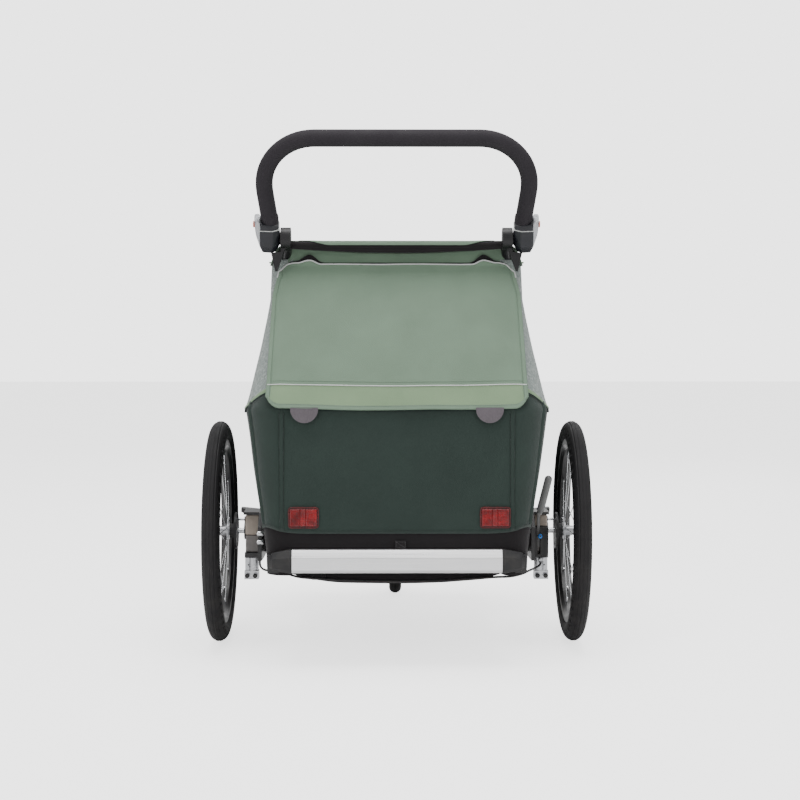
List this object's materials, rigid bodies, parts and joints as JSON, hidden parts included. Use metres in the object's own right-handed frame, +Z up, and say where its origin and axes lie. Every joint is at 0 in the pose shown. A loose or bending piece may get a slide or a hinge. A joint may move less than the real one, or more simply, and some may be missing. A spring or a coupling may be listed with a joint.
{
  "type": "child bicycle trailer",
  "caption": "Two-seat child bicycle trailer with push bar, large spoked wheels, small front caster, folding upper frame, luggage flap and parking brake.",
  "frame": {"origin": "on the ground under the middle of the whole object's box", "axes": "+Y is the direction of travel, +X the right-hand side, +Z up"},
  "size_m": [0.87, 1.104, 1.1425],
  "materials": {
    "frame_black": "satin black powder coat",
    "bumper_alu": "satin anodised",
    "silver_metal": "machined, clear anodised",
    "bright_steel": "polished",
    "black_plastic": "fine grain",
    "grey_plastic": "satin",
    "black_fabric": "coated canvas",
    "dark_green_fabric": "heather weave",
    "sage_fabric": "heather weave",
    "grey_mesh": "heather grey weave",
    "window_film": "tinted clear film",
    "grey_fabric": "padded woven",
    "foam_grip": "textile covered foam",
    "tyre_rubber": "moulded tread",
    "elastomer": "microcellular block",
    "red_reflector": "prismatic",
    "orange_button": "speckled",
    "red_plastic": "gloss"
  },
  "bodies": {
    "chassis": {"base_frame": "frame_black", "bumper_profile": "bumper_alu", "bumper_caps": "black_plastic", "floor_tub": "black_fabric", "skirt": "black_fabric", "storage_wall": "dark_green_fabric", "side_lower": "dark_green_fabric", "side_upper": "grey_mesh", "side_windows": "window_film", "roof": "sage_fabric", "seat_bench": "grey_fabric", "seat_pads": "grey_fabric", "buckles": "black_plastic", "reflectors": "red_reflector", "wheel_guards": "black_plastic", "suspension_plates": "silver_metal", "suspension_pads": "elastomer", "brake_housing": "black_plastic", "brake_cable": "black_plastic", "tow_socket": "silver_metal"},
    "upper_frame": {"arch_frame": "frame_black", "knuckles": "black_plastic"},
    "push_bar": {"handle_tube": "silver_metal", "handle_foam": "foam_grip", "handle_pods": "black_plastic"},
    "bar_button_left": {"handle_button_left": "orange_button"},
    "bar_button_right": {"handle_button_right": "orange_button"},
    "backrest": {"backrest_frame": "silver_metal", "backrest_cover": "grey_fabric"},
    "flap": {"luggage_flap": "sage_fabric"},
    "front_door": {"front_cover": "sage_fabric", "front_window": "window_film"},
    "arm_left": {"swing_arm_left": "frame_black", "clamp_left": "silver_metal", "axle_left": "bright_steel"},
    "arm_right": {"swing_arm_right": "frame_black", "clamp_right": "silver_metal", "axle_right": "bright_steel"},
    "wheel_left": {"tyre_left": "tyre_rubber", "rim_left": "frame_black", "spokes_left": "bright_steel", "hub_left": "silver_metal", "brake_ring_left": "black_plastic"},
    "wheel_right": {"tyre_right": "tyre_rubber", "rim_right": "frame_black", "spokes_right": "bright_steel", "hub_right": "silver_metal", "brake_ring_right": "black_plastic"},
    "axle_button_left": {"release_button_left": "black_plastic"},
    "axle_button_right": {"release_button_right": "black_plastic"},
    "lever": {"brake_lever": "grey_plastic"},
    "brake_pin_left": {"pawl_left": "bright_steel"},
    "brake_pin_right": {"pawl_right": "bright_steel"},
    "caster_swivel": {"caster_fork": "black_plastic", "caster_axle": "bright_steel"},
    "caster_wheel": {"caster_tyre": "tyre_rubber", "caster_rim": "grey_plastic"},
    "tow_lock": {"tow_pin": "red_plastic"},
    "buckle_press_left": {"buckle_button_left": "red_plastic"},
    "buckle_press_right": {"buckle_button_right": "red_plastic"}
  },
  "joints": [
    {"name": "frame_fold", "type": "hinge", "parent": "chassis", "child": "upper_frame", "pos_m": [0, 0.322, 0.272], "axis": [1, 0, 0], "range_deg": [0, 40], "deforming": ["storage_wall", "side_lower", "side_upper", "side_windows", "roof", "luggage_flap", "front_cover", "front_window"]},
    {"name": "backrest_fold", "type": "hinge", "parent": "chassis", "child": "backrest", "pos_m": [0, -0.258, 0.4], "axis": [1, 0, 0], "range_deg": [-80.5, 0.5]},
    {"name": "bar_tilt", "type": "hinge", "parent": "upper_frame", "child": "push_bar", "pos_m": [0, -0.358, 0.918], "axis": [1, 0, 0], "range_deg": [-110, 60]},
    {"name": "bar_button_left_press", "type": "slide", "parent": "push_bar", "child": "bar_button_left", "axis": [1, 0, 0], "range_m": [0, 0.004], "stiffness_N_per_m": 400, "springref_m": -0.002},
    {"name": "bar_button_right_press", "type": "slide", "parent": "push_bar", "child": "bar_button_right", "axis": [-1, 0, 0], "range_m": [0, 0.004], "stiffness_N_per_m": 400, "springref_m": -0.002},
    {"name": "flap_open", "type": "hinge", "parent": "chassis", "child": "flap", "pos_m": [0, -0.328, 0.857], "axis": [1, 0, 0], "range_deg": [-70, 0]},
    {"name": "front_door_open", "type": "hinge", "parent": "chassis", "child": "front_door", "pos_m": [0, 0.003, 0.88], "axis": [1, 0, 0], "range_deg": [0, 100]},
    {"name": "left_suspension", "type": "hinge", "parent": "chassis", "child": "arm_left", "pos_m": [-0.32, -0.088, 0.225], "axis": [-1, 0, 0], "range_deg": [0, 6], "stiffness_Nm_per_rad": 60, "springref_deg": -17.19, "deforming": ["suspension_pads"]},
    {"name": "right_suspension", "type": "hinge", "parent": "chassis", "child": "arm_right", "pos_m": [0.32, -0.088, 0.225], "axis": [-1, 0, 0], "range_deg": [0, 6], "stiffness_Nm_per_rad": 60, "springref_deg": -17.19},
    {"name": "left_wheel_spin", "type": "hinge", "parent": "arm_left", "child": "wheel_left", "pos_m": [-0.405, -0.198, 0.253], "axis": [1, 0, 0], "continuous": true},
    {"name": "right_wheel_spin", "type": "hinge", "parent": "arm_right", "child": "wheel_right", "pos_m": [0.405, -0.198, 0.253], "axis": [1, 0, 0], "continuous": true},
    {"name": "left_axle_button_press", "type": "slide", "parent": "arm_left", "child": "axle_button_left", "axis": [1, 0, 0], "range_m": [0, 0.003], "stiffness_N_per_m": 300, "springref_m": -0.0015},
    {"name": "right_axle_button_press", "type": "slide", "parent": "arm_right", "child": "axle_button_right", "axis": [-1, 0, 0], "range_m": [0, 0.003], "stiffness_N_per_m": 300, "springref_m": -0.0015},
    {"name": "brake_lever_turn", "type": "hinge", "parent": "chassis", "child": "lever", "pos_m": [0.32, -0.314, 0.24], "axis": [1, 0, 0], "range_deg": [0, 60]},
    {"name": "left_brake_pin", "type": "slide", "parent": "arm_left", "child": "brake_pin_left", "axis": [-1, 0, 0], "range_m": [0, 0.006]},
    {"name": "right_brake_pin", "type": "slide", "parent": "arm_right", "child": "brake_pin_right", "axis": [1, 0, 0], "range_m": [0, 0.006]},
    {"name": "caster_turn", "type": "hinge", "parent": "chassis", "child": "caster_swivel", "pos_m": [0, 0.492, 0.24], "axis": [0, 0, 1], "continuous": true},
    {"name": "caster_spin", "type": "hinge", "parent": "caster_swivel", "child": "caster_wheel", "pos_m": [0, 0.452, 0.1], "axis": [1, 0, 0], "continuous": true},
    {"name": "tow_pin_slide", "type": "slide", "parent": "chassis", "child": "tow_lock", "axis": [1, 0, 0], "range_m": [0, 0.029]},
    {"name": "buckle_left_press", "type": "slide", "parent": "chassis", "child": "buckle_press_left", "axis": [0, -1, 0], "range_m": [0, 0.003], "stiffness_N_per_m": 250, "springref_m": -0.0015},
    {"name": "buckle_right_press", "type": "slide", "parent": "chassis", "child": "buckle_press_right", "axis": [0, -1, 0], "range_m": [0, 0.003], "stiffness_N_per_m": 250, "springref_m": -0.0015}
  ],
  "couplings": [
    {"joint": "backrest_fold", "follows": "frame_fold", "ratio": -2},
    {"joint": "left_brake_pin", "follows": "brake_lever_turn", "m_per_rad": 0.0057},
    {"joint": "right_brake_pin", "follows": "brake_lever_turn", "m_per_rad": 0.0057}
  ]
}
